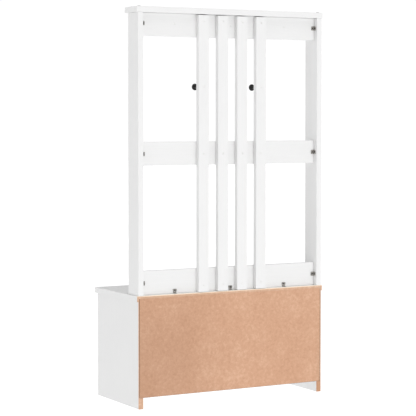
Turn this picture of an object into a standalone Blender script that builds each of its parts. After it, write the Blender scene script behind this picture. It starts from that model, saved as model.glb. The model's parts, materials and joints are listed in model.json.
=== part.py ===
"""Hall tree with coat hooks: a two-door shoe cabinet that is also a bench, and a slatted hook frame above it.

Metres, +Z up. The front faces -Y. The origin is on the floor, at the middle of the footprint.
Depths are given as setbacks, measured forwards from the rear plane. Left and right are seen from the front,
so left is -X.
"""

import math

import bmesh
import bpy
from mathutils import Matrix, Vector

# Overall size
WIDTH = 0.900
HEIGHT = 1.649
BENCH_HEIGHT = 0.466
BENCH_DEPTH = 0.411
DOOR_KNOB_REACH = 0.024

# Board sections
TOP_THICKNESS = 0.024
POST_THICKNESS = 0.024
POST_DEPTH = 0.093
CAP_DEPTH = 0.112
SIDE_THICKNESS = 0.022
SIDE_DEPTH = 0.393
OVERHANG = 0.0054
RAIL_THICKNESS = 0.022
TOP_RAIL_BOTTOM = 1.5298
MIDDLE_RAIL_SPAN = (0.9986, 1.0962)
BOTTOM_RAIL_TOP = 0.5658
SLAT_WIDTH = 0.0488
SLAT_THICKNESS = 0.022
SLAT_PITCH = 0.0927
SLAT_TOP_GAP = 0.0038
SLAT_FOOT_GAP = 0.0015
SHELF_THICKNESS = 0.018
SHELF_SET_IN = 0.028
PANEL_THICKNESS = 0.022
PLINTH_SETBACKS = (0.332, 0.350)
STRETCHER_HEIGHT = 0.040
BACK_SHEET = 0.003
BACK_BOTTOM = 0.0465
BOTTOM_PANEL_LOW = 0.050
BACK_LIP = 0.0036
BACK_SIDE_GAP = 0.0014
EASED_EDGE = 0.0015

# Clearance between pieces that touch, and between a moving piece and the face it rests on
GAP = 0.0003
REST_GAP = 0.0005

# Doors
DOOR_GAP = 0.003
DOOR_THICKNESS = 0.020
DOOR_BOTTOM = 0.052
DOOR_TOP_GAP = 0.0025
STILE_WIDTH = 0.055
DOOR_PANEL_THICKNESS = 0.008
GROOVE_DEPTH = 0.008
CATCH_HALF_WIDTH = 0.023
CATCH_HEIGHT = 0.013
CATCH_REAR = 0.345
CATCH_EASE = 0.0008
STRIKE_THICKNESS = 0.0008
STRIKE_SPAN = (0.004, 0.021)
KNOB_RADIUS = 0.013
KNOB_DOME = 0.0055
KNOB_HEIGHT_SHARE = 0.62

# Butt hinges
HINGE_HEIGHT = 0.050
HINGE_INSET = 0.078
LEAF_THICKNESS = 0.0009
LEAF_WIDTH = 0.016
KNUCKLE_RADIUS = 0.003
KNUCKLE_BORE = 0.0015
PIN_RADIUS = 0.0012
AXIS_PROUD = 0.0035

# Hooks and fixings
HOOK_RAIL_X = 0.2655
HOOK_RAIL_Z = 1.5815
HOOK_SLAT_Z = 1.3243
HOOK_HEAD_RADIUS = 0.0141
HOOK_HEAD_CENTRE = 0.056
HOOK_DOME = 0.0062
HOOK_NECK_RADIUS = 0.0045
HOOK_BASE_RADIUS = 0.011
HOOK_BORE_RADIUS = 0.0024
HOOK_BORE_DEPTH = 0.016
SCREW_HOLE_RADIUS = 0.0023
RECESS_RADIUS = 0.0045
RECESS_DEPTH = 0.0026
PILOT_DEPTH = 0.014
SLAT_SCREW_HEIGHTS = (1.5965, 1.0450, 0.4945)
BOLT_HEAD_RADIUS = 0.008
BOLT_HEAD_HEIGHT = 0.0025
BOLT_SHANK_RADIUS = 0.003
BOLT_HOLE_RADIUS = 0.0034
BOLT_INTO_POST = 0.025
BOLT_SETBACKS = (0.016, 0.078)
BRACKET_THICKNESS = 0.002
BRACKET_LEG = 0.016
BRACKET_WIDTH = 0.0175
BRACKET_HOLE_INSET = 0.0055
BENCH_BRACKET_LEG = 0.0195
BENCH_BRACKET_WIDTH = 0.019
ROUND_SIDES = 12
TURNED_STEPS = 16
CUT_PAST = 0.001

# Heights and setbacks worked out from the sizes above
DEPTH = SIDE_DEPTH + DOOR_KNOB_REACH
CAP_UNDERSIDE = HEIGHT - TOP_THICKNESS
BENCH_UNDERSIDE = BENCH_HEIGHT - TOP_THICKNESS
OUTER_X = WIDTH / 2 - OVERHANG
POST_INNER_X = OUTER_X - POST_THICKNESS
SIDE_INNER_X = OUTER_X - SIDE_THICKNESS
RAIL_SETBACK = SLAT_THICKNESS
RAIL_FRONT = RAIL_SETBACK + RAIL_THICKNESS
DOOR_REAR = SIDE_DEPTH - DOOR_THICKNESS
BOARD_FRONT = DOOR_REAR - REST_GAP
RAIL_SPANS = {
    "top_rail": (TOP_RAIL_BOTTOM, CAP_UNDERSIDE - GAP),
    "middle_rail": MIDDLE_RAIL_SPAN,
    "bottom_rail": (BENCH_HEIGHT + GAP, BOTTOM_RAIL_TOP),
}
BRACKET_HEIGHTS = (1.5815, 1.0466, 0.5155)
HINGE_AXIS_X = SIDE_INNER_X - DOOR_GAP / 2
HINGE_AXIS_SETBACK = SIDE_DEPTH + AXIS_PROUD


def y_at(setback):
    """World Y of a plane that lies this far in front of the rear plane."""
    return DEPTH / 2 - setback


def clear_scene():
    for obj in list(bpy.data.objects):
        bpy.data.objects.remove(obj, do_unlink=True)
    for group in list(bpy.data.collections):
        bpy.data.collections.remove(group)


def new_collection(name):
    group = bpy.data.collections.new(name)
    bpy.context.scene.collection.children.link(group)
    return group


def new_material(name, colour, roughness, metallic=0.0):
    mat = bpy.data.materials.new(name)
    mat.use_nodes = True
    shader = mat.node_tree.nodes["Principled BSDF"]
    shader.inputs["Base Color"].default_value = (*colour, 1.0)
    shader.inputs["Roughness"].default_value = roughness
    shader.inputs["Metallic"].default_value = metallic
    return mat


def add_object(name, mesh, material=None, location=(0, 0, 0), rotation=(0, 0, 0), parent=None):
    """Link a mesh as a part of the object, placed in world space whether or not it has a parent."""
    obj = bpy.data.objects.new(name, mesh)
    parts.objects.link(obj)
    obj.location = Vector(location)
    obj.rotation_euler = rotation
    if parent is not None:
        obj.parent = parent
        obj.location -= parent.location
    if material is not None and not mesh.materials:
        mesh.materials.append(material)
    return obj


def box_mesh(name, size):
    bm = bmesh.new()
    bmesh.ops.create_cube(bm, size=1.0)
    bmesh.ops.scale(bm, vec=Vector(size), verts=bm.verts)
    mesh = bpy.data.meshes.new(name)
    bm.to_mesh(mesh)
    bm.free()
    return mesh


def span_centre(span):
    return (span[0] + span[1]) / 2


def board(name, xs, setbacks, zs, material, parent=None, ease=EASED_EDGE):
    """A rectangular board between two X planes, two setbacks and two heights, with eased edges."""
    size = (xs[1] - xs[0], setbacks[1] - setbacks[0], zs[1] - zs[0])
    centre = (span_centre(xs), y_at(span_centre(setbacks)), span_centre(zs))
    obj = add_object(name, box_mesh(name, size), material, centre, parent=parent)
    if ease:
        bevel = obj.modifiers.new("eased_edges", "BEVEL")
        bevel.width = ease
        bevel.segments = 2
    return obj


def hide_cutter(obj):
    for group in list(obj.users_collection):
        group.objects.unlink(obj)
    cutters.objects.link(obj)
    obj.hide_render = True
    obj.display_type = "WIRE"
    return obj


def box_cutter(name, xs, setbacks, zs):
    return hide_cutter(board(name, xs, setbacks, zs, None, ease=0))


def drill_cutter(name, holes):
    """One cutter for many round holes: (start, end, radius) each."""
    bm = bmesh.new()
    for start, end, radius in holes:
        start, end = Vector(start), Vector(end)
        run = end - start
        turn = run.to_track_quat("Z", "Y").to_matrix().to_4x4()
        bmesh.ops.create_cone(
            bm,
            cap_ends=True,
            segments=ROUND_SIDES,
            radius1=radius,
            radius2=radius,
            depth=run.length,
            matrix=Matrix.Translation((start + end) / 2) @ turn,
        )
    mesh = bpy.data.meshes.new(name)
    bm.to_mesh(mesh)
    bm.free()
    return hide_cutter(add_object(name, mesh))


def boolean(obj, tool, operation="DIFFERENCE"):
    mod = obj.modifiers.new(tool.name, "BOOLEAN")
    mod.operation = operation
    mod.solver = "EXACT"
    mod.object = tool


def fused_mesh(name, solids, cuts=()):
    """The mesh of several overlapping solids joined into one body, less the cuts. The helpers are removed."""
    body = solids[0]
    for piece in solids[1:]:
        boolean(body, piece, "UNION")
    for tool in cuts:
        boolean(body, tool)
    evaluated = body.evaluated_get(bpy.context.evaluated_depsgraph_get())
    mesh = bpy.data.meshes.new_from_object(evaluated)
    mesh.transform(evaluated.matrix_world)
    mesh.name = name
    mesh.materials.clear()
    for helper in (*solids, *cuts):
        bpy.data.objects.remove(helper, do_unlink=True)
    return mesh


def helper_box(low, high):
    low, high = Vector(low), Vector(high)
    return add_object("helper_box", box_mesh("helper_box", high - low), location=(low + high) / 2)


def helper_round(start, end, radius):
    """A cylinder between two points, used to build up a fused mesh."""
    return drill_cutter("helper_round", [(start, end, radius)])


def turned(name, profile, material, location, rotation=(0, 0, 0), parent=None):
    """A solid of revolution about its own +Z, from a half profile that runs from top to bottom."""
    bm = bmesh.new()
    points = [bm.verts.new((radius, 0, height)) for radius, height in profile]
    for upper, lower in zip(points, points[1:]):
        bm.edges.new((upper, lower))
    mesh = bpy.data.meshes.new(name)
    bm.to_mesh(mesh)
    bm.free()
    obj = add_object(name, mesh, material, location, rotation, parent)
    screw = obj.modifiers.new("turned", "SCREW")
    screw.steps = TURNED_STEPS
    screw.render_steps = TURNED_STEPS
    screw.use_merge_vertices = True
    screw.merge_threshold = 0.00005
    screw.use_smooth_shade = True
    return obj


def arc_points(centre, radius_x, radius_z, start_deg, end_deg, count):
    """Profile points along part of an ellipse, angles measured from the profile's +X."""
    points = []
    for i in range(count):
        angle = math.radians(start_deg + (end_deg - start_deg) * i / (count - 1))
        points.append((centre[0] + radius_x * math.cos(angle), centre[1] + radius_z * math.sin(angle)))
    return points


def slat_centres():
    return [(i - 1.5) * SLAT_PITCH for i in range(4)]


def hook_places():
    """(x, z, setback of the face that the hook stands on, setback of the face behind it)."""
    on_rail = [(x, HOOK_RAIL_Z, RAIL_FRONT, RAIL_SETBACK) for x in (-HOOK_RAIL_X, 0.0, HOOK_RAIL_X)]
    on_slats = [(x, HOOK_SLAT_Z, SLAT_THICKNESS, 0.0) for x in (slat_centres()[0], slat_centres()[-1])]
    return on_rail + on_slats


def through_hole(x, z, rear, front):
    start = (x, y_at(rear - CUT_PAST), z)
    return (start, (x, y_at(front + CUT_PAST), z), SCREW_HOLE_RADIUS)


def head_recess(x, z, rear):
    """Room for a screw's head, so that it lies flush in the rear face."""
    start = (x, y_at(rear - CUT_PAST), z)
    return (start, (x, y_at(rear + RECESS_DEPTH), z), RECESS_RADIUS)


def bolt_places():
    x = POST_INNER_X + POST_THICKNESS / 2
    return [(side * x, setback) for side in (-1, 1) for setback in BOLT_SETBACKS]


def bolt_hole(x, setback, low, high):
    return ((x, y_at(setback), low - CUT_PAST), (x, y_at(setback), high + CUT_PAST), BOLT_HOLE_RADIUS)


def build_hook_frame():
    post_zs = (BENCH_HEIGHT + GAP, CAP_UNDERSIDE - GAP)
    for side, word in ((-1, "left"), (1, "right")):
        xs = sorted((side * POST_INNER_X, side * OUTER_X))
        post = board(f"post_{word}", xs, (0, POST_DEPTH), post_zs, white_paint)
        low = CAP_UNDERSIDE - BOLT_INTO_POST
        holes = [bolt_hole(x, s, low, CAP_UNDERSIDE) for x, s in bolt_places() if x * side > 0]
        boolean(post, drill_cutter(f"post_{word}_bolt_holes", holes))

    cap = board("cap_board", (-WIDTH / 2, WIDTH / 2), (0, CAP_DEPTH), (CAP_UNDERSIDE, HEIGHT), white_paint)
    holes = [bolt_hole(x, s, CAP_UNDERSIDE, HEIGHT) for x, s in bolt_places()]
    boolean(cap, drill_cutter("cap_bolt_holes", holes))

    xs = (-POST_INNER_X + GAP, POST_INNER_X - GAP)
    for (name, span), screw_z in zip(RAIL_SPANS.items(), SLAT_SCREW_HEIGHTS):
        rail = board(name, xs, (RAIL_SETBACK + GAP, RAIL_FRONT), span, white_paint)
        holes = [through_hole(x, screw_z, RAIL_SETBACK, RAIL_SETBACK + PILOT_DEPTH) for x in slat_centres()]
        if name == "top_rail":
            hooks = [place for place in hook_places() if place[3] == RAIL_SETBACK]
            holes += [through_hole(x, z, rear, front) for x, z, front, rear in hooks]
            recesses = [head_recess(x, z, rear) for x, z, front, rear in hooks]
            boolean(rail, drill_cutter("top_rail_head_recesses", recesses))
        boolean(rail, drill_cutter(f"{name}_screw_holes", holes))


def build_slats():
    low = BENCH_HEIGHT + SLAT_FOOT_GAP
    high = CAP_UNDERSIDE - SLAT_TOP_GAP
    for number, x in enumerate(slat_centres(), 1):
        xs = (x - SLAT_WIDTH / 2, x + SLAT_WIDTH / 2)
        slat = board(f"slat_{number}", xs, (0, SLAT_THICKNESS), (low, high), white_paint)
        heights = list(SLAT_SCREW_HEIGHTS)
        if number in (1, 4):
            heights.append(HOOK_SLAT_Z)
        recesses = [head_recess(x, z, 0) for z in heights]
        holes = [through_hole(x, z, 0, SLAT_THICKNESS) for z in heights]
        boolean(slat, drill_cutter(f"slat_{number}_head_recesses", recesses))
        boolean(slat, drill_cutter(f"slat_{number}_screw_holes", holes))


def build_cap_bolts():
    head = [
        (0.0, BOLT_HEAD_HEIGHT),
        (BOLT_HEAD_RADIUS * 0.72, BOLT_HEAD_HEIGHT),
        (BOLT_HEAD_RADIUS * 0.93, BOLT_HEAD_HEIGHT * 0.72),
        (BOLT_HEAD_RADIUS, GAP * 2),
        (BOLT_HEAD_RADIUS, GAP),
    ]
    end = -(TOP_THICKNESS + BOLT_INTO_POST)
    radius = BOLT_SHANK_RADIUS
    shank = [(radius, GAP), (radius, end + GAP), (radius - GAP, end), (0.0, end)]
    for number, (x, setback) in enumerate(bolt_places(), 1):
        turned(f"cap_bolt_{number}", head + shank, zinc, (x, y_at(setback), HEIGHT))


def hook_profile():
    """A peg hook: a base on the board, a slim neck and a domed mushroom head, with a blind screw bore."""
    neck = HOOK_NECK_RADIUS
    foot = HOOK_BASE_RADIUS
    dome = arc_points((0, HOOK_HEAD_CENTRE), HOOK_HEAD_RADIUS, HOOK_DOME, 90, 0, 6)
    underside = [
        (HOOK_HEAD_RADIUS - 0.0011, HOOK_HEAD_CENTRE - 0.0022),
        (0.0085, HOOK_HEAD_CENTRE - 0.0040),
        (0.0060, HOOK_HEAD_CENTRE - 0.0068),
        (neck, HOOK_HEAD_CENTRE - 0.0120),
    ]
    base = [(neck, 0.013), (0.0057, 0.0085), (0.0085, 0.0050), (foot, 0.0034), (foot, GAP)]
    bore = [(HOOK_BORE_RADIUS, GAP), (HOOK_BORE_RADIUS, HOOK_BORE_DEPTH), (0.0, HOOK_BORE_DEPTH)]
    return dome + underside + base + bore


def build_hooks():
    facing_front = (math.pi / 2, 0, 0)
    for number, (x, z, front, _) in enumerate(hook_places(), 1):
        turned(f"hook_{number}", hook_profile(), black_metal, (x, y_at(front), z), facing_front)


def bracket_mesh(name, flat_leg, upright_leg, width):
    """An angle bracket in its own corner: one leg lies on +X, the other stands on +Z, and +Y is its width.

    Each leg has a screw hole near its end.
    """
    half = width / 2
    edge = BRACKET_THICKNESS
    flat = helper_box((GAP, -half, GAP), (flat_leg, half, edge + GAP))
    upright = helper_box((GAP, -half, GAP + edge / 4), (edge + GAP, half, upright_leg))
    holes = []
    for along in (flat_leg - BRACKET_HOLE_INSET, upright_leg - BRACKET_HOLE_INSET):
        in_flat_leg = not holes
        start = Vector((along, 0, -edge) if in_flat_leg else (-edge, 0, along))
        run = Vector((0, 0, 3 * edge) if in_flat_leg else (3 * edge, 0, 0))
        holes.append(helper_round(start, start + run, SCREW_HOLE_RADIUS))
    return fused_mesh(name, [flat, upright], holes)


def build_brackets():
    """Angle brackets hold the rails to the posts, and the bottom rail to the bench top."""
    mesh = bracket_mesh("rail_bracket", BRACKET_LEG, BRACKET_LEG, BRACKET_WIDTH)
    mesh.materials.append(zinc)
    number = 0
    for side in (-1, 1):
        for z in BRACKET_HEIGHTS:
            number += 1
            corner = (side * POST_INNER_X, y_at(RAIL_SETBACK + GAP), z)
            # The flat leg runs inwards along the rail, and the upright leg runs back along the post.
            columns = (Vector((-side, 0, 0)), Vector((0, 0, side)), Vector((0, 1, 0)))
            turn = Matrix(columns).transposed().to_euler()
            add_object(f"rail_bracket_{number}", mesh, None, corner, turn)

    mesh = bracket_mesh("bench_bracket", BRACKET_LEG, BENCH_BRACKET_LEG, BENCH_BRACKET_WIDTH)
    mesh.materials.append(zinc)
    for number, x in enumerate((-HOOK_RAIL_X, 0.0, HOOK_RAIL_X), 1):
        corner = (x, y_at(RAIL_SETBACK + GAP), BENCH_HEIGHT)
        add_object(f"bench_bracket_{number}", mesh, None, corner, (0, 0, math.pi / 2))


def build_cabinet():
    half = WIDTH / 2
    lip_x = OUTER_X - BACK_LIP
    sheet_x = lip_x - BACK_SIDE_GAP
    sheet_top = BENCH_UNDERSIDE + TOP_THICKNESS / 2
    inner = SIDE_INNER_X - GAP
    behind = BACK_SHEET + 2 * GAP

    top = board("bench_top", (-half, half), (0, BENCH_DEPTH), (BENCH_UNDERSIDE, BENCH_HEIGHT), white_paint)
    rebate = (-CUT_PAST, BACK_SHEET + GAP)
    heights = (BACK_BOTTOM - GAP, sheet_top + GAP)
    sheet_room = box_cutter("back_sheet_rebate", (-lip_x, lip_x), rebate, heights)
    boolean(top, sheet_room)
    for side, word in ((-1, "left"), (1, "right")):
        xs = sorted((side * SIDE_INNER_X, side * OUTER_X))
        panel = board(f"side_panel_{word}", xs, (0, SIDE_DEPTH), (0, BENCH_UNDERSIDE - GAP), white_paint)
        boolean(panel, sheet_room)

    board("back_panel", (-sheet_x, sheet_x), (0, BACK_SHEET), (BACK_BOTTOM, sheet_top), hardboard, ease=0)
    bottom = BOTTOM_PANEL_LOW
    bottom_zs = (bottom, bottom + PANEL_THICKNESS)
    board("bottom_panel", (-inner, inner), (behind, BOARD_FRONT), bottom_zs, white_paint)
    middle = (bottom + PANEL_THICKNESS + BENCH_UNDERSIDE) / 2
    shelf_zs = (middle - SHELF_THICKNESS / 2, middle + SHELF_THICKNESS / 2)
    board("shelf", (-inner, inner), (behind, BOARD_FRONT - SHELF_SET_IN), shelf_zs, white_paint)
    board("plinth_rail", (-inner, inner), PLINTH_SETBACKS, (0, bottom - GAP), white_paint)
    stretcher = (BOARD_FRONT - RAIL_THICKNESS, BOARD_FRONT)
    stretcher_low = BENCH_UNDERSIDE - STRETCHER_HEIGHT
    board("front_stretcher", (-inner, inner), stretcher, (stretcher_low, BENCH_UNDERSIDE - GAP), white_paint)
    catch_zs = (stretcher_low - GAP - CATCH_HEIGHT, stretcher_low - GAP)
    strike_face = DOOR_REAR - GAP - STRIKE_THICKNESS
    catch_xs = (-CATCH_HALF_WIDTH, CATCH_HALF_WIDTH)
    board("door_catch", catch_xs, (CATCH_REAR, strike_face - GAP), catch_zs, black_plastic, ease=CATCH_EASE)
    return catch_zs, strike_face


def hinge_meshes():
    """Frame leaf and door leaf of one butt hinge. Its pin is on Z, and its leaves run back along +Y.

    The frame leaf is on the +X side. It carries the pin and the two outer knuckles.
    """
    half = HINGE_HEIGHT / 2
    knuckle = HINGE_HEIGHT / 6
    leaf_start = KNUCKLE_RADIUS + GAP
    near, far = GAP, GAP + LEAF_THICKNESS
    root = KNUCKLE_RADIUS / 3

    frame = [helper_box((near, leaf_start, -half), (far, leaf_start + LEAF_WIDTH, half))]
    for low, high in ((-half, -knuckle - GAP), (knuckle + GAP, half)):
        frame.append(helper_box((near, root, low), (far, leaf_start + root, high)))
        frame.append(helper_round((0, 0, low), (0, 0, high), KNUCKLE_RADIUS))
    frame.append(helper_round((0, 0, -half + knuckle / 2), (0, 0, half - knuckle / 2), PIN_RADIUS))

    low, high = -knuckle + GAP, knuckle - GAP
    door = [helper_box((-far, leaf_start, -half), (-near, leaf_start + LEAF_WIDTH, half))]
    door.append(helper_box((-far, root, low), (-near, leaf_start + root, high)))
    door.append(helper_round((0, 0, low), (0, 0, high), KNUCKLE_RADIUS))
    bore = helper_round((0, 0, -half - CUT_PAST), (0, 0, half + CUT_PAST), KNUCKLE_BORE)
    return fused_mesh("hinge_frame_leaf", frame), fused_mesh("hinge_door_leaf", door, [bore])


def build_door(side, word, leaves, catch_zs, strike_face):
    axis = bpy.data.objects.new(f"door_{word}_axis", None)
    axis.location = (side * HINGE_AXIS_X, y_at(HINGE_AXIS_SETBACK), 0)
    parts.objects.link(axis)

    hinge_x = side * (SIDE_INNER_X - DOOR_GAP)
    meeting_x = side * DOOR_GAP / 2
    depth = (DOOR_REAR, SIDE_DEPTH)
    low, high = DOOR_BOTTOM, BENCH_UNDERSIDE - DOOR_TOP_GAP
    hinge_stile = sorted((hinge_x, hinge_x - side * STILE_WIDTH))
    meeting_stile = sorted((meeting_x, meeting_x + side * STILE_WIDTH))
    between = sorted((hinge_x - side * (STILE_WIDTH + GAP), meeting_x + side * (STILE_WIDTH + GAP)))
    frame = [
        board(f"door_{word}_hinge_stile", hinge_stile, depth, (low, high), white_paint, axis),
        board(f"door_{word}_meeting_stile", meeting_stile, depth, (low, high), white_paint, axis),
        board(f"door_{word}_bottom_rail", between, depth, (low, low + STILE_WIDTH), white_paint, axis),
        board(f"door_{word}_top_rail", between, depth, (high - STILE_WIDTH, high), white_paint, axis),
    ]

    xs = (between[0] - GROOVE_DEPTH, between[1] + GROOVE_DEPTH)
    zs = (low + STILE_WIDTH - GROOVE_DEPTH, high - STILE_WIDTH + GROOVE_DEPTH)
    middle = span_centre(depth)
    panel_depth = (middle - DOOR_PANEL_THICKNESS / 2, middle + DOOR_PANEL_THICKNESS / 2)
    board(f"door_{word}_panel", xs, panel_depth, zs, white_paint, axis, ease=0)
    grown = [(low_end - GAP, high_end + GAP) for low_end, high_end in (xs, panel_depth, zs)]
    groove = box_cutter(f"door_{word}_groove", *grown)
    for member in frame:
        boolean(member, groove)

    # Strike plate for the catch, behind the top corner of the meeting stile
    strike_xs = sorted(side * x for x in STRIKE_SPAN)
    board(f"door_{word}_strike", strike_xs, (strike_face, DOOR_REAR - GAP), catch_zs, zinc, axis, ease=0)

    knob_x = meeting_x + side * STILE_WIDTH / 2
    knob_at = (knob_x, y_at(SIDE_DEPTH), low + (high - low) * KNOB_HEIGHT_SHARE)
    turned(f"door_{word}_knob", knob_profile(), black_metal, knob_at, (math.pi / 2, 0, 0), axis)

    frame_leaf, door_leaf = leaves
    turn = (0, 0, 0) if side > 0 else (0, math.pi, 0)
    for z, place in ((low + HINGE_INSET, "lower"), (high - HINGE_INSET, "upper")):
        pin = (side * HINGE_AXIS_X, y_at(HINGE_AXIS_SETBACK), z)
        add_object(f"hinge_{word}_{place}_frame_leaf", frame_leaf, None, pin, turn)
        add_object(f"hinge_{word}_{place}_door_leaf", door_leaf, None, pin, turn, axis)


def knob_profile():
    """A low door knob: a domed face on a waisted stem."""
    crown = DOOR_KNOB_REACH - KNOB_DOME
    dome = arc_points((0, crown), KNOB_RADIUS, KNOB_DOME, 90, 0, 6)
    stem = [(0.0118, crown - 0.0025), (0.0075, 0.0105), (0.0062, 0.0065), (0.0078, 0.002)]
    return dome + stem + [(0.0078, GAP), (0, GAP)]


clear_scene()
parts = new_collection("hall_tree")
cutters = new_collection("cutters")
white_paint = new_material("white_paint", (0.86, 0.86, 0.85), 0.45)
hardboard = new_material("hardboard", (0.66, 0.40, 0.25), 0.75)
black_metal = new_material("black_metal", (0.02, 0.02, 0.02), 0.35, 0.6)
zinc = new_material("zinc", (0.55, 0.54, 0.50), 0.35, 1.0)
black_plastic = new_material("black_plastic", (0.03, 0.03, 0.03), 0.5)

build_hook_frame()
build_slats()
build_cap_bolts()
build_hooks()
build_brackets()
door_catch_heights, door_strike_face = build_cabinet()
hinge_leaves = hinge_meshes()
for leaf_mesh in hinge_leaves:
    leaf_mesh.materials.append(zinc)
for door_side, door_word in ((-1, "left"), (1, "right")):
    build_door(door_side, door_word, hinge_leaves, door_catch_heights, door_strike_face)
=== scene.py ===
import json
import math

import bmesh
import bpy
from mathutils import Matrix, Vector


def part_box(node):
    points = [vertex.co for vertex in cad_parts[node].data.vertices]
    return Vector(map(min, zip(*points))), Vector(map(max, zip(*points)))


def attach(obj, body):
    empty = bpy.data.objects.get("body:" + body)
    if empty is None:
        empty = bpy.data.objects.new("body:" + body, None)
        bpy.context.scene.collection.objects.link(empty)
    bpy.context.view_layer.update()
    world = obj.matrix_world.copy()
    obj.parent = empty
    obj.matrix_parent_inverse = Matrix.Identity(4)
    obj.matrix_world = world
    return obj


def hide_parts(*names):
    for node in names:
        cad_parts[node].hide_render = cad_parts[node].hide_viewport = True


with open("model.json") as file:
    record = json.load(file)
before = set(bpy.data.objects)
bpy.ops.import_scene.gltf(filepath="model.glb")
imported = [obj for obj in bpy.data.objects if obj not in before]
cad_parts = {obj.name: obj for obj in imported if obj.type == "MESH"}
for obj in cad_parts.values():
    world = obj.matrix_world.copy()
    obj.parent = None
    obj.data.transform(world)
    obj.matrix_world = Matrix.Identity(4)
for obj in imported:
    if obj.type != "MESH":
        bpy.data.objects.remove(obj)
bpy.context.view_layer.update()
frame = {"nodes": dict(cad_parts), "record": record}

# Every length is in metres and every place is in the frame of the CAD: +Z up, the front faces -Y.
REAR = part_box("bench_top")[1][1]
BENCH_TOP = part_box("bench_top")[1][2]
RAIL_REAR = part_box("top_rail")[1][1]

# Camera and light
CAMERA_AT = (3.326, 5.957, 1.2024)
CAMERA_YAW = 150.846
CAMERA_PITCH = 2.281
CAMERA_LENS = 136.59
CAMERA_SHIFT = -0.07
FLOOR_SIZE = 60.0
BACKDROP_LIGHT = 1.03
ROOM_LIGHT = 0.32
# Name: (strength, direction towards the light, softness in degrees)
SOFTBOXES = {
    "rear_softbox": (0.89, (-0.10, 0.99, 0.00), 50),
    "right_softbox": (0.34, (0.94, 0.02, 0.22), 50),
    "front_softbox": (0.96, (0.34, -0.87, 0.33), 50),
    "left_softbox": (0.72, (-0.95, -0.10, 0.20), 50),
    "top_softbox": (1.10, (0.02, 0.42, 0.90), 50),
}

# Colours, linear
PAINT_DARK = (0.790, 0.790, 0.790, 1)
PAINT_LIGHT = (0.810, 0.810, 0.808, 1)
BOARD_DARK = (0.520, 0.285, 0.172, 1)
BOARD_MIDDLE = (0.600, 0.345, 0.220, 1)
BOARD_LIGHT = (0.700, 0.440, 0.300, 1)
# The dark brown painted into the back sheet as shade at its edges and towards its lower +X corner; it also
# darkens the lower part of its -X edge
BOARD_DARKENED = (0.150, 0.085, 0.055, 1)
# The point on the back sheet towards which shade is painted darker
SHADED_CORNER = (0.45, 0.21, 0.13)
EDGE_DARK = (0.570, 0.350, 0.230, 1)
EDGE_MIDDLE = (0.620, 0.390, 0.265, 1)
EDGE_LIGHT = (0.750, 0.520, 0.380, 1)
# A paler, warmer paint that stands in for light on the bench top's strip behind the rail: painted light
LIT_STRIP_PAINT = (0.960, 0.915, 0.870, 1)
# A painted highlight along the top of the bench top's bare rear edge
EDGE_HIGHLIGHT = (0.900, 0.740, 0.580, 1)
COAT_DARK = (0.006, 0.006, 0.006, 1)
COAT_LIGHT = (0.012, 0.011, 0.011, 1)
PLASTIC_DARK = (0.018, 0.018, 0.018, 1)
PLASTIC_LIGHT = (0.030, 0.030, 0.030, 1)
FLOOR_DARK = (0.300, 0.300, 0.300, 1)
FLOOR_LIGHT = (0.310, 0.310, 0.310, 1)
FLOOR_GLOW = 0.86
PAINT_SPECULAR = 0.12
# Zinc, dark and light. The brackets have a third, lighter tone where they stand clear of the rails:
# painted light on the legs that catch it.
BRACKET_TONES = ((0.070, 0.070, 0.070, 1), (0.500, 0.475, 0.440, 1), (0.620, 0.600, 0.575, 1))
BRACKET_SCREW_TONES = ((0.060, 0.060, 0.060, 1), (0.160, 0.155, 0.150, 1))
HINGE_TONES = ((0.460, 0.460, 0.460, 1), (0.600, 0.600, 0.590, 1))
SCREW_TONES = ((0.760, 0.760, 0.760, 1), (0.880, 0.870, 0.860, 1))
BOLT_TONES = ((0.380, 0.380, 0.380, 1), (0.540, 0.530, 0.520, 1))

# Clearances and small sizes
GAP = 0.0003
TURNED_STEPS = 48
HOLE_STEPS = 24
SCREW_STEPS = 28
SCREW_HOLE = 0.0017
HOLE_END = -0.002
# Lengths below SAME_PLACE count as nothing, and points closer than MERGED become one
SAME_PLACE = 1e-6
MERGED = 1e-7


# ---------------------------------------------------------------- materials


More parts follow.
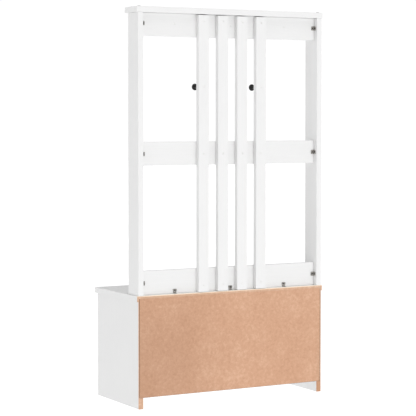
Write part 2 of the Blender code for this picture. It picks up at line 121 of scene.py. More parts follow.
class Graph:
    """A material's node tree, made with short calls. Positions are in metres, in the frame of the CAD."""

    def __init__(self, name):
        self.material = bpy.data.materials.new(name)
        self.material.use_nodes = True
        self.tree = self.material.node_tree
        self.shader = self.tree.nodes["Principled BSDF"]
        self.position = self.node("ShaderNodeTexCoord").outputs["Object"]

    def node(self, kind, options=None, **inputs):
        made = self.tree.nodes.new(kind)
        for key, value in (options or {}).items():
            setattr(made, key, value)
        for key, value in inputs.items():
            self.feed(made.inputs[key.replace("_", " ")], value)
        return made

    def feed(self, socket, value):
        if isinstance(value, bpy.types.NodeSocket):
            self.tree.links.new(value, socket)
        else:
            socket.default_value = value

    def maths(self, operation, first, second=0.0):
        made = self.node("ShaderNodeMath", {"operation": operation})
        self.feed(made.inputs[0], first)
        self.feed(made.inputs[1], second)
        return made.outputs[0]

    def placed(self, scale, turn=(0, 0, 0)):
        turn = [math.radians(a) for a in turn]
        return self.node("ShaderNodeMapping", Vector=self.position, Scale=scale, Rotation=turn).outputs[0]

    def noise(self, vector, scale, detail=3.0, roughness=0.5, distortion=0.0):
        made = self.node(
            "ShaderNodeTexNoise",
            Vector=vector,
            Scale=scale,
            Detail=detail,
            Roughness=roughness,
            Distortion=distortion,
        )
        return made.outputs["Fac"]

    def spread(self, value, low, high, to_low=0.0, to_high=1.0):
        """The value mapped from one range to another, smoothly, and held at its ends."""
        made = self.node("ShaderNodeMapRange", {"interpolation_type": "SMOOTHSTEP"})
        limits = {"From Min": low, "From Max": high, "To Min": to_low, "To Max": to_high}
        for name, number in limits.items():
            made.inputs[name].default_value = number
        self.feed(made.inputs["Value"], value)
        return made.outputs["Result"]

    def mix(self, share, first, second):
        made = self.node("ShaderNodeMix", {"data_type": "RGBA"})
        self.feed(made.inputs[0], share)
        self.feed(made.inputs[6], first)
        self.feed(made.inputs[7], second)
        return made.outputs[2]

    def bump(self, height, distance, strength=1.0, normal=None):
        made = self.node("ShaderNodeBump", Height=height, Distance=distance, Strength=strength)
        if normal is not None:
            self.feed(made.inputs["Normal"], normal)
        return made.outputs[0]

    def axis(self, name):
        return self.node("ShaderNodeSeparateXYZ", Vector=self.position).outputs[name]

    def surface(self, **inputs):
        for key, value in inputs.items():
            self.feed(self.shader.inputs[key.replace("_", " ")], value)
        return self.material


def along(direction, across, lengthways):
    """Texture scales that stretch a pattern along one axis."""
    return tuple(lengthways if axis == direction else across for axis in "XYZ")


def paint_parts(graph, direction):
    """Satin paint brushed over pine along one axis: its colour, roughness and normal."""
    grain = graph.noise(graph.placed(along(direction, 1.0, 0.035)), 260.0, 4.0, 0.55, 0.4)
    brush = graph.noise(graph.placed(along(direction, 1.0, 0.02)), 900.0, 2.0)
    stipple = graph.noise(graph.position, 1400.0, 2.0)
    cloud = graph.noise(graph.position, 5.0, 2.0)
    tone = graph.maths("ADD", graph.maths("MULTIPLY", grain, 0.55), graph.maths("MULTIPLY", cloud, 0.45))
    colour = graph.mix(graph.spread(tone, 0.30, 0.70), PAINT_DARK, PAINT_LIGHT)
    streak = graph.maths("ADD", graph.maths("MULTIPLY", brush, 0.6), graph.maths("MULTIPLY", cloud, 0.4))
    roughness = graph.spread(streak, 0.3, 0.7, 0.58, 0.70)
    normal = graph.bump(grain, 0.00012, 0.5)
    normal = graph.bump(brush, 0.00004, 0.6, normal)
    normal = graph.bump(stipple, 0.00002, 0.5, normal)
    return colour, roughness, normal


def white_paint(direction):
    """The paint alone, on a board whose grain runs along one axis."""
    graph = Graph("white_paint_along_" + direction.lower())
    colour, roughness, normal = paint_parts(graph, direction)
    return graph.surface(
        Base_Color=colour,
        Roughness=roughness,
        Normal=normal,
        Specular_IOR_Level=PAINT_SPECULAR,
    )


def fibre_parts(graph, dark, middle, light):
    """Bare pressed board: clouds, soft mottling and short fibres lying every way."""
    cloud = graph.noise(graph.position, 7.0, 3.0, 0.55)
    mottle = graph.noise(graph.position, 85.0, 4.0, 0.6, 0.6)
    speck = graph.noise(graph.position, 520.0, 5.0, 0.65)
    strands = []
    for turn in (0, 55, 118):
        turned_space = graph.placed((1.0, 1.0, 1.0), (0, turn, 0))
        stretched = graph.node("ShaderNodeMapping", Vector=turned_space, Scale=(0.12, 1.0, 1.0)).outputs[0]
        strands.append(graph.spread(graph.noise(stretched, 700.0 + turn, 2.0, 0.5, 0.3), 0.56, 0.72))
    fibres = graph.maths("MAXIMUM", graph.maths("MAXIMUM", strands[0], strands[1]), strands[2])
    tone = graph.maths("ADD", graph.maths("MULTIPLY", mottle, 0.50), graph.maths("MULTIPLY", cloud, 0.30))
    tone = graph.maths("ADD", tone, graph.maths("MULTIPLY", speck, 0.20))
    low = graph.mix(graph.spread(tone, 0.32, 0.52), dark, middle)
    colour = graph.mix(graph.spread(tone, 0.48, 0.68), low, light)
    colour = graph.mix(graph.maths("MULTIPLY", fibres, 0.22), colour, light)
    height = graph.maths("ADD", graph.maths("MULTIPLY", fibres, 0.6), speck)
    normal = graph.bump(height, 0.00018, 0.7)
    roughness = graph.spread(speck, 0.3, 0.7, 0.70, 0.86)
    return colour, roughness, normal


def hardboard():
    """The back sheet, with shade painted into it: darker along its side and bottom edges, where the gaps
    beside and below it are in shadow, and towards its lower +X corner. It is also darker along the lower
    part of its -X edge.
    """
    graph = Graph("bare_hardboard")
    colour, roughness, normal = fibre_parts(graph, BOARD_DARK, BOARD_MIDDLE, BOARD_LIGHT)
    # Painted shade: the sheet grows darker towards its lower +X corner, where less light falls
    corner_distance = graph.node("ShaderNodeVectorMath", {"operation": "DISTANCE"})
    graph.feed(corner_distance.inputs[0], graph.position)
    graph.feed(corner_distance.inputs[1], SHADED_CORNER)
    wander = graph.maths("MULTIPLY", graph.noise(graph.position, 6.0), 0.12)
    corner_shade = graph.maths("ADD", corner_distance.outputs["Value"], wander)
    colour = graph.mix(graph.spread(corner_shade, 0.14, 0.64, 0.16, 0.0), colour, BOARD_DARKENED)
    # Darker along the lower part of the -X edge
    tone_shift = graph.spread(graph.axis("X"), -0.440, -0.412, 0.13, 0.0)
    tone_shift = graph.maths("MULTIPLY", tone_shift, graph.spread(graph.axis("Z"), 0.12, 0.34, 1.0, 0.0))
    colour = graph.mix(tone_shift, colour, BOARD_DARKENED)
    low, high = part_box("back_panel")
    # Painted shade: the sheet is darker along its side and bottom edges, where the gaps beside and below
    # it are in shadow
    beside = graph.spread(graph.maths("ABSOLUTE", graph.axis("X")), high[0] - 0.0012, high[0] - 0.0003)
    below = graph.spread(graph.axis("Z"), low[2] + 0.0004, low[2] + 0.0014, 1.0, 0.0)
    colour = graph.mix(graph.maths("MAXIMUM", beside, below), colour, BOARD_DARKENED)
    return graph.surface(Base_Color=colour, Roughness=roughness, Normal=normal, Specular_IOR_Level=0.3)


def painted_with_raw_rear(direction):
    """White paint that stops at the rear edge, where the bare board shows. On the top face behind the
    rail, light is painted in as a paler, warmer strip; a highlight is painted along the top of the bare
    edge, and the bare edge is darker at its foot on the -X side.
    """
    graph = Graph("white_paint_raw_rear_" + direction.lower())
    paint, paint_roughness, paint_normal = paint_parts(graph, direction)
    raw, raw_roughness, raw_normal = fibre_parts(graph, EDGE_DARK, EDGE_MIDDLE, EDGE_LIGHT)
    # Painted highlight along the upper part of the bench top's bare rear edge
    edge_highlight = graph.spread(graph.axis("Z"), BENCH_TOP - 0.0045, BENCH_TOP - 0.0015)
    raw = graph.mix(edge_highlight, raw, EDGE_HIGHLIGHT)
    # The bare edge is darker at the foot of the -X side
    left_foot = graph.maths("LESS_THAN", graph.axis("X"), 0.0)
    foot_darkening = graph.maths("MULTIPLY", left_foot, graph.spread(graph.axis("Z"), 0.044, 0.052, 0.9, 0.0))
    raw = graph.mix(foot_darkening, raw, BOARD_DARK)
    wander = graph.maths("MULTIPLY", graph.noise(graph.position, 160.0, 3.0), 0.0005)
    depth = graph.maths("ADD", graph.axis("Y"), wander)
    bare = graph.spread(depth, REAR - 0.0017, REAR - 0.0008)
    # Painted light: the top face behind the rail is paler and warmer, standing in for light that the
    # crease there would not get
    on_top = graph.spread(graph.axis("Z"), BENCH_TOP - 0.0012, BENCH_TOP - 0.0006)
    lit_strip = graph.maths("MULTIPLY", on_top, graph.spread(depth, REAR - 0.028, REAR - 0.020))
    paint = graph.mix(lit_strip, paint, LIT_STRIP_PAINT)
    colour = graph.mix(bare, paint, raw)
    roughness = graph.node("ShaderNodeMix", {"data_type": "FLOAT"})
    for socket, value in zip((0, 2, 3), (bare, paint_roughness, raw_roughness)):
        graph.feed(roughness.inputs[socket], value)
    normal = graph.node("ShaderNodeMix", {"data_type": "VECTOR"})
    for socket, value in zip((0, 4, 5), (bare, paint_normal, raw_normal)):
        graph.feed(normal.inputs[socket], value)
    return graph.surface(
        Base_Color=colour,
        Roughness=roughness.outputs[0],
        Normal=normal.outputs[1],
        Specular_IOR_Level=PAINT_SPECULAR,
    )


def black_metal():
    """Satin black powder coat on turned metal."""
    graph = Graph("satin_black_coat")
    peel = graph.noise(graph.position, 1100.0, 3.0, 0.6)
    cloud = graph.noise(graph.position, 90.0, 2.0)
    colour = graph.mix(graph.spread(cloud, 0.3, 0.7), COAT_DARK, COAT_LIGHT)
    roughness = graph.spread(peel, 0.3, 0.7, 0.34, 0.48)
    normal = graph.bump(peel, 0.00004, 0.6)
    return graph.surface(Base_Color=colour, Roughness=roughness, Normal=normal, Specular_IOR_Level=0.35)


def zinc(name, dark, light, tone_shift=None):
    """Zinc plate: fine spangle, and drawing marks along its length.

    Given a third tone, the metal that stands clear of the rails takes that lighter colour, as painted
    light.
    """
    graph = Graph(name)
    spangle = graph.node("ShaderNodeTexVoronoi", Vector=graph.position, Scale=900.0).outputs["Color"]
    patch = graph.noise(graph.position, 240.0, 3.0, 0.6)
    marks = graph.noise(graph.placed((1.0, 0.04, 0.04)), 2600.0, 2.0)
    tone = graph.maths("ADD", graph.maths("MULTIPLY", spangle, 0.35), graph.maths("MULTIPLY", patch, 0.65))
    colour = graph.mix(graph.spread(tone, 0.30, 0.70), dark, light)
    # Painted light: the legs that stand clear of the rails are given a lighter tone
    if tone_shift:
        clear = graph.spread(graph.axis("Y"), RAIL_REAR + 0.0028, RAIL_REAR + 0.0050)
        lit_share = graph.maths("MULTIPLY", clear, graph.spread(tone, 0.25, 0.65, 0.75, 1.0))
        colour = graph.mix(lit_share, colour, tone_shift)
    roughness = graph.spread(patch, 0.3, 0.7, 0.26, 0.46)
    normal = graph.bump(marks, 0.00001, 0.5)
    return graph.surface(Base_Color=colour, Roughness=roughness, Normal=normal, Metallic=1.0)


def black_plastic():
    """Moulded plastic with a fine pebbled face."""
    graph = Graph("moulded_black_plastic")
    pebble = graph.node("ShaderNodeTexVoronoi", Vector=graph.position, Scale=1800.0).outputs["Distance"]
    colour = graph.mix(graph.noise(graph.position, 200.0), PLASTIC_DARK, PLASTIC_LIGHT)
    roughness = graph.spread(pebble, 0.0, 0.8, 0.42, 0.58)
    return graph.surface(Base_Color=colour, Roughness=roughness, Normal=graph.bump(pebble, 0.00003, 0.5))


paint = {direction: white_paint(direction) for direction in "XZ"}
raw_rear = {direction: painted_with_raw_rear(direction) for direction in "XZ"}
hardboard_finish = hardboard()
black_finish = black_metal()
plastic_finish = black_plastic()
bracket_finish = zinc("bracket_zinc", *BRACKET_TONES)
bracket_screw_finish = zinc("bracket_screw_zinc", *BRACKET_SCREW_TONES)
hinge_finish = zinc("hinge_zinc", *HINGE_TONES)
screw_finish = zinc("screw_zinc", *SCREW_TONES)
bolt_finish = zinc("bolt_zinc", *BOLT_TONES)

LEVEL_BOARDS = ("cap_board", "bottom_panel", "shelf", "plinth_rail", "front_stretcher")
ZINC_NODES = ("hinge_", "rail_bracket_", "bench_bracket_", "cap_bolt_")


def finish_for(name):
    """The material of a CAD node, by the node's name."""
    if name == "back_panel":
        return hardboard_finish
    if name == "bench_top":
        return raw_rear["X"]
    if name.startswith("side_panel"):
        return raw_rear["Z"]
    if name in LEVEL_BOARDS or name.endswith("_rail"):
        return paint["X"]
    if name.startswith(("hook_", "door_left_knob", "door_right_knob")):
        return black_finish
    if name == "door_catch":
        return plastic_finish
    if name.startswith(ZINC_NODES) or name.endswith("_strike"):
        return hinge_finish
    return paint["Z"]


for node_name, node_object in frame["nodes"].items():
    for material_slot in node_object.material_slots:
        material_slot.material = finish_for(node_name)


# ---------------------------------------------------------------- mesh helpers


def new_mesh(name, bm, smooth_angle=35):
    """A mesh that is shaded smooth, except over edges that turn by more than the angle."""
    bmesh.ops.recalc_face_normals(bm, faces=bm.faces)
    mesh = bpy.data.meshes.new(name)
    bm.to_mesh(mesh)
    bm.free()
    mesh.polygons.foreach_set("use_smooth", [True] * len(mesh.polygons))
    mesh.set_sharp_from_angle(angle=math.radians(smooth_angle))
    return mesh


def add_piece(name, mesh, material, body, replaced=()):
    """A named object that rides on a body, and that stands for the CAD nodes replaced, if any."""
    piece = bpy.data.objects.new(name, mesh)
    bpy.context.scene.collection.objects.link(piece)
    mesh.materials.clear()
    mesh.materials.append(material)
    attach(piece, body)
    if replaced:
        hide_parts(*replaced)
    return piece


def rounded_corners(points, radii, steps=5, closed=False):
    """A line through the points whose corners are rounded, each by its own radius."""
    made = []
    count = len(points)
    for i, point in enumerate(points):
        here = Vector(point)
        if radii[i] <= 0 or (not closed and i in (0, count - 1)):
            made.append(tuple(here))
            continue
        before = Vector(points[i - 1]) - here
        after = Vector(points[(i + 1) % count]) - here
        half = before.angle(after) / 2
        reach = min(radii[i] / math.tan(half), before.length * 0.49, after.length * 0.49)
        start, end = here + before.normalized() * reach, here + after.normalized() * reach
        for step in range(steps + 1):
            t = step / steps
            made.append(tuple(start * (1 - t) ** 2 + here * 2 * t * (1 - t) + end * t**2))
    return made


def turned(profile, steps=TURNED_STEPS):
    """A solid of revolution about +Z, from a half profile of (radius, height), pole to pole."""
    bm = bmesh.new()
    rings = []
    for radius, height in profile:
        if radius < SAME_PLACE:
            rings.append([bm.verts.new((0, 0, height))])
            continue
        angles = [2 * math.pi * i / steps for i in range(steps)]
        rings.append([bm.verts.new((radius * math.cos(a), radius * math.sin(a), height)) for a in angles])
    for upper, lower in zip(rings, rings[1:]):
        for i in range(steps):
            corners = []
            for ring, k in ((upper, i), (upper, i + 1), (lower, i + 1), (lower, i)):
                vert = ring[k % len(ring)]
                if vert not in corners:
                    corners.append(vert)
            bm.faces.new(corners)
    return bm


def prism(outline, low, high):
    """A closed prism between two heights, over an outline in X and Y."""
    bm = bmesh.new()
    base = bm.faces.new([bm.verts.new((x, y, low)) for x, y in outline])
    made = bmesh.ops.extrude_face_region(bm, geom=[base])
    tops = [v for v in made["geom"] if isinstance(v, bmesh.types.BMVert)]
    bmesh.ops.translate(bm, vec=(0, 0, high - low), verts=tops)
    bmesh.ops.recalc_face_normals(bm, faces=bm.faces)
    return bm


def drill_bit(radius, low, high):
    """A plain round cutter about +Z."""
    return turned([(0.0, low), (radius, low), (radius, high), (0.0, high)], HOLE_STEPS)


def countersink(top, wide, face, throat):
    """A cutter for a screw hole: wide from its top down to the face, then a cone down to the throat."""
    profile = [(0.0, top), (wide, top), (wide, face)]
    profile += [(SCREW_HOLE, throat), (SCREW_HOLE, HOLE_END), (0.0, HOLE_END)]
    return turned(profile, HOLE_STEPS)


def rectangle(width, height, radius, centre=(0, 0), steps=5):
    """The outline of a rectangle with round corners."""
    x, y = centre
    corners = [
        (x - width / 2, y - height / 2),
        (x + width / 2, y - height / 2),
        (x + width / 2, y + height / 2),
        (x - width / 2, y + height / 2),
    ]
    return rounded_corners(corners, [radius] * 4, steps, closed=True)


def temporary(bm):
    """An object that is only used to cut or join meshes."""
    bmesh.ops.recalc_face_normals(bm, faces=bm.faces)
    mesh = bpy.data.meshes.new("temporary")
    bm.to_mesh(mesh)
    bm.free()
    made = bpy.data.objects.new("temporary", mesh)
    bpy.context.scene.collection.objects.link(made)
    return made


def combined(name, solids, cuts=(), smooth_angle=35, edge=0.0):
    """One mesh from overlapping solids, less the cuts, with its edges broken by a small bevel if an edge
    width is given.
    """
    base, *others = [temporary(bm) for bm in solids]
    tools = [temporary(bm) for bm in cuts]
    for operation, group in (("UNION", others), ("DIFFERENCE", tools)):
        for tool in group:
            change = base.modifiers.new("combine", "BOOLEAN")
            change.operation, change.solver, change.object = operation, "EXACT", tool
    if edge:
        bevel = base.modifiers.new("edges", "BEVEL")
        bevel.width, bevel.segments, bevel.limit_method = edge, 2, "ANGLE"
        bevel.angle_limit = math.radians(50)
    bpy.context.view_layer.update()
    evaluated = base.evaluated_get(bpy.context.evaluated_depsgraph_get())
    result = bpy.data.meshes.new_from_object(evaluated)
    for helper in (base, *others, *tools):
        bpy.data.objects.remove(helper, do_unlink=True)
    bm = bmesh.new()
    bm.from_mesh(result)
    bpy.data.meshes.remove(result)
    bmesh.ops.remove_doubles(bm, verts=bm.verts, dist=MERGED)
    return new_mesh(name, bm, smooth_angle)


def facing(direction, at):
    """The placing that turns +Z to the direction and moves the origin to a point."""
    turn = Vector(direction).to_track_quat("Z", "Y").to_matrix().to_4x4()
    return Matrix.Translation(at) @ turn


def copies(name, mesh, placings):
    """One mesh that holds a copy of another at each placing."""
    bm = bmesh.new()
    for placing in placings:
        part = mesh.copy()
        part.transform(placing)
        bm.from_mesh(part)
        bpy.data.meshes.remove(part)
    made = bpy.data.meshes.new(name)
    bm.to_mesh(made)
    bm.free()
    return made


# ---------------------------------------------------------------- screws and bolts


def cross_recess(top, length, width, depth):
    """Two tapered blades that cut a cross recess down from a head's top."""
    blades = []
    for turn in (0, 90):
        bm = bmesh.new()
        rings = []
        for height, share in ((top + 0.0006, 1.08), (top - depth, 0.42)):
            half_length, half_width = length / 2 * share, width / 2 * (0.7 + 0.3 * share)
            corners = ((-1, -1), (1, -1), (1, 1), (-1, 1))
            rings.append([bm.verts.new((half_length * a, half_width * b, height)) for a, b in corners])
        bm.faces.new(rings[0])
        bm.faces.new(rings[1])
        for i in range(4):
            j = (i + 1) % 4
            bm.faces.new((rings[0][i], rings[0][j], rings[1][j], rings[1][i]))
        bmesh.ops.rotate(bm, matrix=Matrix.Rotation(math.radians(turn + 20), 3, "Z"), verts=bm.verts)
        blades.append(bm)
    return blades


def threaded(radius, start, end, pitch=0.0011):
    """A profile with thread crests, from start down to a pointed end."""
    root = radius * 0.78
    points = []
    height = start
    while height - pitch > end + radius * 1.6:
        points += [(root, height), (root, height - pitch * 0.45)]
        points += [(radius, height - pitch * 0.62), (root, height - pitch * 0.8)]
        height -= pitch
    return points + [(root, end + radius * 1.2), (0.0, end)]


def countersunk_screw(name, head, length, shank):
    """A wood screw whose flat head's top is at z = 0."""
    cone = head * 0.62
    profile = [(0.0, 0.0), (head * 0.93, 0.0), (head, -0.0003), (head, -0.0005), (shank, -cone)]
    if length > cone + 4 * shank:
        profile += [(shank, -cone - 0.001)] + threaded(shank, -cone - 0.0012, -length)
    else:
        profile += [(shank, -length), (0.0, -length)]
    recess = cross_recess(0.0, head * 1.25, head * 0.30, head * 0.42)
    return combined(name, [turned(profile, SCREW_STEPS)], recess, 30)


def pan_screw(name, head, height, length, shank):
    """A pan-head screw whose head stands on z = 0."""
    dome = [(0.0, height), (head * 0.45, height * 0.97), (head * 0.80, height * 0.74)]
    dome += [(head, height * 0.30), (head, 0.0)]
    dome = rounded_corners(dome, [0, head * 0.6, head * 0.4, head * 0.2, head * 0.06], 3)
    profile = dome + [(shank, 0.0), (shank, -length), (0.0, -length)]
    recess = cross_recess(height, head * 1.15, head * 0.28, height * 0.62)
    return combined(name, [turned(profile, SCREW_STEPS)], recess, 30)


SLAT_SCREW_HEIGHTS = (1.5965, 1.0450, 0.4945)
SCREW_HEAD = 0.0043
SCREW_LENGTH = 0.034
SCREW_SHANK = 0.0021
SCREW_SUNK = 0.0001
wood_screw = countersunk_screw("wood_screw", SCREW_HEAD, SCREW_LENGTH, SCREW_SHANK)
for number in (1, 2, 3, 4):
    low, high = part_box(f"slat_{number}")
    x = (low[0] + high[0]) / 2
    places = [facing((0, 1, 0), (x, REAR - SCREW_SUNK, z)) for z in SLAT_SCREW_HEIGHTS]
    name = f"slat_{number}_screws"
    add_piece(name, copies(name, wood_screw, places), screw_finish, "carcass")

cap_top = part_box("cap_board")[1][2]
BOLT_HEAD = 0.0080
BOLT_HEIGHT = 0.0025
BOLT_SHANK = 0.003
BOLT_TIP = 0.0024
BOLT_END = -0.049
BOLT_SOCKET = 0.0026


def button_bolt(name):
    """A low button-head bolt with a hexagon socket, whose head stands on z = 0."""
    head = [(0.0, BOLT_HEIGHT), (BOLT_HEAD * 0.40, BOLT_HEIGHT), (BOLT_HEAD * 0.82, BOLT_HEIGHT * 0.74)]
    head += [(BOLT_HEAD, BOLT_HEIGHT * 0.25), (BOLT_HEAD, GAP)]
    head = rounded_corners(head, [0, 0.004, 0.003, 0.0006, 0], 4)
    shank = [(BOLT_SHANK, GAP), (BOLT_SHANK, BOLT_END + 0.0006), (BOLT_TIP, BOLT_END), (0.0, BOLT_END)]
    angles = [math.pi / 3 * i for i in range(6)]
    hexagon = [(BOLT_SOCKET * math.cos(a), BOLT_SOCKET * math.sin(a)) for a in angles]
    return combined(name, [turned(head + shank)], [prism(hexagon, 0.0008, 0.004)], 32)


bolt = button_bolt("cap_bolt")
for number in (1, 2, 3, 4):
    low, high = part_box(f"cap_bolt_{number}")
    middle = (low + high) / 2
    name = f"cap_bolt_{number}_turned"
    mesh = copies(name, bolt, [Matrix.Translation((middle[0], middle[1], cap_top))])
    add_piece(name, mesh, bolt_finish, "carcass", [f"cap_bolt_{number}"])


# ---------------------------------------------------------------- hooks and knobs

HOOK_HEAD = 0.0141
KNOB_HEAD = 0.0130
HANDLE_STEPS = 56
HANDLE_SMOOTH = 42


def hook_mesh():
    """A peg hook about +Z: a flared foot, a slim waisted neck and a domed head with a rolled rim."""
    front = [(0.0, 0.0622), (0.0066, 0.0620), (0.0111, 0.0604)]
    front += [(HOOK_HEAD, 0.0578), (HOOK_HEAD, 0.0549), (0.0108, 0.0532)]
    front_radii = [0, 0.02, 0.012, 0.0022, 0.0018, 0.002]
    neck = [(0.0062, 0.0505), (0.0046, 0.0440), (0.0044, 0.0240), (0.0052, 0.0110), (0.0078, 0.0062)]
    neck_radii = [0.006, 0.02, 0.05, 0.02, 0.006]
    foot = [(0.0108, 0.0050), (0.0110, 0.0040), (0.0110, GAP)]
    bore = [(0.0024, GAP), (0.0024, 0.016), (0.0, 0.016)]
    foot_radii = [0.001, 0.0006, 0, 0, 0, 0]
    profile = rounded_corners(front + neck + foot + bore, front_radii + neck_radii + foot_radii, 7)
    return new_mesh("hook", turned(profile, HANDLE_STEPS), HANDLE_SMOOTH)


hook = hook_mesh()
hook_screw_places = []
for number in range(1, 6):
    low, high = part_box(f"hook_{number}")
    x, z = (low[0] + high[0]) / 2, (low[2] + high[2]) / 2
    name = f"hook_{number}_peg"
    mesh = copies(name, hook, [facing((0, -1, 0), (x, high[1] + GAP, z))])
    add_piece(name, mesh, black_finish, "carcass", [f"hook_{number}"])
    rear_face = REAR if number > 3 else RAIL_REAR
    hook_screw_places.append(facing((0, 1, 0), (x, rear_face - SCREW_SUNK, z)))
hook_screws = copies("hook_screws", wood_screw, hook_screw_places)
add_piece("hook_screws", hook_screws, screw_finish, "carcass")


def knob_mesh(reach):
    """A low door knob about +Z: a domed face, a rounded rim and a waisted stem on a small foot."""
    face = [(0.0, reach), (0.0060, reach - 0.0003), (0.0105, reach - 0.0022)]
    face += [(KNOB_HEAD, reach - 0.0055), (0.0120, reach - 0.0080)]
    stem = [(0.0078, 0.0105), (0.0062, 0.0065), (0.0066, 0.0032)]
    stem += [(0.0078, 0.0020), (0.0078, GAP), (0.0, GAP)]
    radii = [0, 0.02, 0.012, 0.0022, 0.003, 0.004, 0.006, 0.003, 0.0006, 0, 0]
    profile = rounded_corners(face + stem, radii, 7)
    return new_mesh("knob", turned(profile, HANDLE_STEPS), HANDLE_SMOOTH)


for side in ("left", "right"):
    low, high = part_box(f"door_{side}_knob")
    knob = knob_mesh(high[1] + GAP - low[1])
    knob.transform(facing((0, -1, 0), ((low[0] + high[0]) / 2, high[1] + GAP, (low[2] + high[2]) / 2)))
    name = f"door_{side}_knob"
    add_piece(name + "_turned", knob, black_finish, f"door_{side}", [name])


# ---------------------------------------------------------------- angle brackets

BRACKET_THICKNESS = 0.002
BRACKET_HOLE = 0.0023
BRACKET_HOLE_INSET = 0.0055
BRACKET_CORNER = 0.003
BRACKET_EDGE = 0.00022


def bracket_mesh(name, flat_leg, upright_leg, width, foot_share):
    """A stamped angle bracket in its own corner: legs on +X and +Z, its width along Y, and a bend.

    Its upright leg narrows to foot_share of its width at the bend, and the flat leg is as narrow as that.
    """
    near, far = GAP, GAP + BRACKET_THICKNESS
    line = [(near, near), (flat_leg, near), (flat_leg, far)]
    line += [(far, far), (far, upright_leg), (near, upright_leg)]
    section = rounded_corners(line, [0.0024, 0, 0, 0.0010, 0, 0], 6, closed=True)
    body = prism(section, -width / 2, width / 2)
    bmesh.ops.rotate(body, matrix=Matrix.Rotation(math.pi / 2, 3, "X"), verts=body.verts)
    corners = []
    for edge in body.edges:
        a, b = (v.co for v in edge.verts)
        run = b - a
        at_side = abs(abs(a.y) - width / 2) < SAME_PLACE and abs(run.y) < SAME_PLACE
        flat_end = at_side and abs(a.x - flat_leg) < SAME_PLACE and abs(run.x) < SAME_PLACE
        upright_end = at_side and abs(a.z - upright_leg) < SAME_PLACE and abs(run.z) < SAME_PLACE
        if flat_end or upright_end:
            corners.append(edge)
    bmesh.ops.bevel(body, geom=corners, offset=BRACKET_CORNER, segments=6, profile=0.5, affect="EDGES")
    for vert in body.verts:
        rise = (vert.co.z - far) / (upright_leg - BRACKET_CORNER - far)
        vert.co.y *= foot_share + (1.0 - foot_share) * min(1.0, max(0.0, rise))
    holes = []
    in_flat_leg = Matrix.Translation((flat_leg - BRACKET_HOLE_INSET, 0, 0))
    in_upright_leg = Matrix.Translation((0, 0, upright_leg - BRACKET_HOLE_INSET))
    for place in (in_flat_leg, in_upright_leg @ Matrix.Rotation(math.pi / 2, 4, "Y")):
        drill = drill_bit(BRACKET_HOLE, -0.003, 0.006)
        drill.transform(place)
        holes.append(drill)
    return combined(name, [body], holes, 35, BRACKET_EDGE)


def bracket_screws(flat_leg, upright_leg):
    """Where a bracket's two screw heads stand, in the bracket's own corner."""
    far = GAP + BRACKET_THICKNESS
    return [
        facing((0, 0, 1), (flat_leg - BRACKET_HOLE_INSET, 0, far)),
        facing((1, 0, 0), (far, 0, upright_leg - BRACKET_HOLE_INSET)),
    ]


LEG, BENCH_LEG = 0.016, 0.0195
RAIL_BRACKET_WIDTH = 0.0175
BENCH_BRACKET_WIDTH = 0.019
BENCH_FOOT_SHARE = 0.58
BRACKET_SCREW = {"head": 0.0036, "height": 0.0018, "length": 0.0018, "shank": 0.0020}
rail_bracket = bracket_mesh("rail_bracket_plate", LEG, LEG, RAIL_BRACKET_WIDTH, 1.0)
bench_bracket = bracket_mesh("bench_bracket_plate", LEG, BENCH_LEG, BENCH_BRACKET_WIDTH, BENCH_FOOT_SHARE)
bracket_screw = pan_screw("bracket_screw", **BRACKET_SCREW)


def add_bracket(name, plate_mesh, legs, placing):
    """A bracket's plate, which stands for its CAD node, and its two screws."""
    plate = copies(name + "_plate", plate_mesh, [placing])
    add_piece(name + "_plate", plate, bracket_finish, "carcass", [name])
    screws = copies(name + "_screws", bracket_screw, [placing @ place for place in bracket_screws(*legs)])
    add_piece(name + "_screws", screws, bracket_screw_finish, "carcass")


for number in range(1, 7):
    low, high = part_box(f"rail_bracket_{number}")
    side = -1 if number < 4 else 1
    corner = (side * (max(abs(low[0]), abs(high[0])) + GAP), RAIL_REAR, (low[2] + high[2]) / 2)
    columns = (Vector((-side, 0, 0)), Vector((0, 0, side)), Vector((0, 1, 0)))
    placing = Matrix.Translation(corner) @ Matrix(columns).transposed().to_4x4()
    add_bracket(f"rail_bracket_{number}", rail_bracket, (LEG, LEG), placing)
for number in range(1, 4):
    low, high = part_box(f"bench_bracket_{number}")
    corner = ((low[0] + high[0]) / 2, RAIL_REAR, BENCH_TOP)
    placing = Matrix.Translation(corner) @ Matrix.Rotation(math.pi / 2, 4, "Z")
    add_bracket(f"bench_bracket_{number}", bench_bracket, (LEG, BENCH_LEG), placing)


# ---------------------------------------------------------------- hinges, strikes and catch

KNUCKLE = 0.003
PIN = 0.0012
HINGE_HALF = 0.025
LEAF = 0.0009
LEAF_WIDTH = 0.016
LEAF_CORNER = 0.003
TAB_ROOT = 0.001
TAB_LAP = 0.0012
PIN_BORE = 0.0015
PIN_INSET = 0.004
ROD_STEPS = 32
ROD_EDGE = 0.0002
HINGE_SCREW_HEAD = 0.0028
HINGE_SCREW_LENGTH = 0.00088
HINGE_SCREW_SHANK = 0.0016
HINGE_SCREW_SUNK = 0.00005
# Each screw's height on the leaf and its distance back from the leaf's near edge
SCREW_ROWS = ((-0.017, 0.0085), (0.0, 0.0130), (0.017, 0.0085))


def rod(radius, low, high):
    """A round rod along +Z with broken edges."""
    top = [(0.0, high), (radius - ROD_EDGE, high), (radius, high - ROD_EDGE)]
    foot = [(radius, low + ROD_EDGE), (radius - ROD_EDGE, low), (0.0, low)]
    return turned(top + foot, ROD_STEPS)


def leaf_faces(side):
    """A leaf's two faces across the pin: side is 1 for the frame's leaf and -1 for the door's."""
    return (GAP, GAP + LEAF) if side > 0 else (-GAP - LEAF, -GAP)


